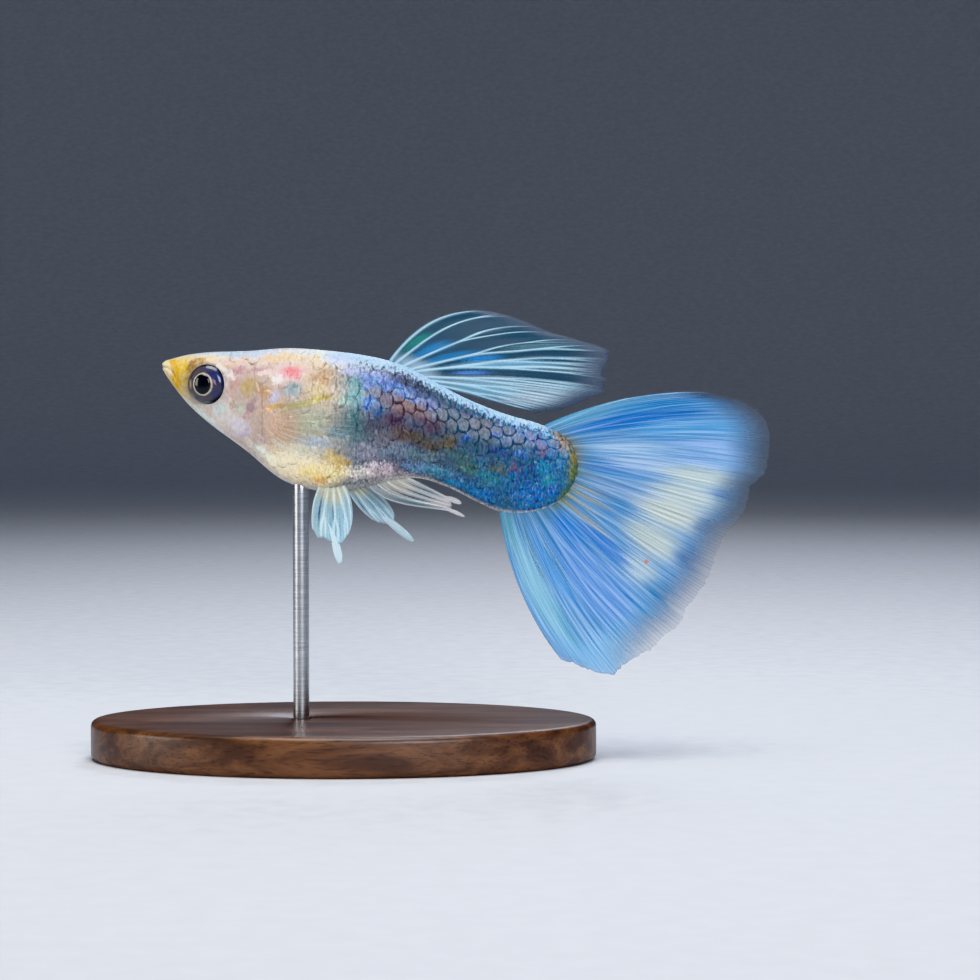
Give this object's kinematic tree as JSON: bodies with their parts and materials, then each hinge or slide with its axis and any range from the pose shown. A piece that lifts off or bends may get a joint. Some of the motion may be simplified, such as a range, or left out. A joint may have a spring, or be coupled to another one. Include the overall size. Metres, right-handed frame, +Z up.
{
  "type": "fancy guppy fish model",
  "caption": "Life-size fan-tailed guppy, swept dorsal fin, spread paired fins, held level by one slim rod on an oval base.",
  "frame": {"origin": "centre of the underside of the oval stand base, on the surface it stands on", "axes": "+Z up, the fish faces -X, and its left side faces -Y"},
  "size_m": [0.0512, 0.022, 0.0338],
  "materials": {
    "head_skin": "wet, finely speckled skin, yellow at the snout and rosy white on the cheek",
    "trunk_skin": "small shining scales, cream below and blue to maroon on the flank",
    "stalk_skin": "small shining scales, deep blue-green with an ice-blue back",
    "eye": "clear wet cornea over a dark iris with a fine pale ring",
    "coloured_fin": "thin ribbed fin, blue with pale rays and a clear edge",
    "pale_fin": "thin clear ribbed fin, pale blue-white",
    "stand_wood": "satin walnut with an eased edge",
    "stand_steel": "satin stainless rod"
  },
  "bodies": {
    "root": {"head": "head_skin", "lower_jaw": "head_skin", "trunk": "trunk_skin", "tail_stalk": "stalk_skin", "eye_left": "eye", "eye_right": "eye", "tail_fin": "coloured_fin", "dorsal_fin": "coloured_fin", "pectoral_fin_left": "pale_fin", "pectoral_fin_right": "pale_fin", "pelvic_fin_left": "pale_fin", "pelvic_fin_right": "pale_fin", "anal_fin": "pale_fin", "stand_base": "stand_wood", "stand_rod": "stand_steel"}
  },
  "joints": []
}
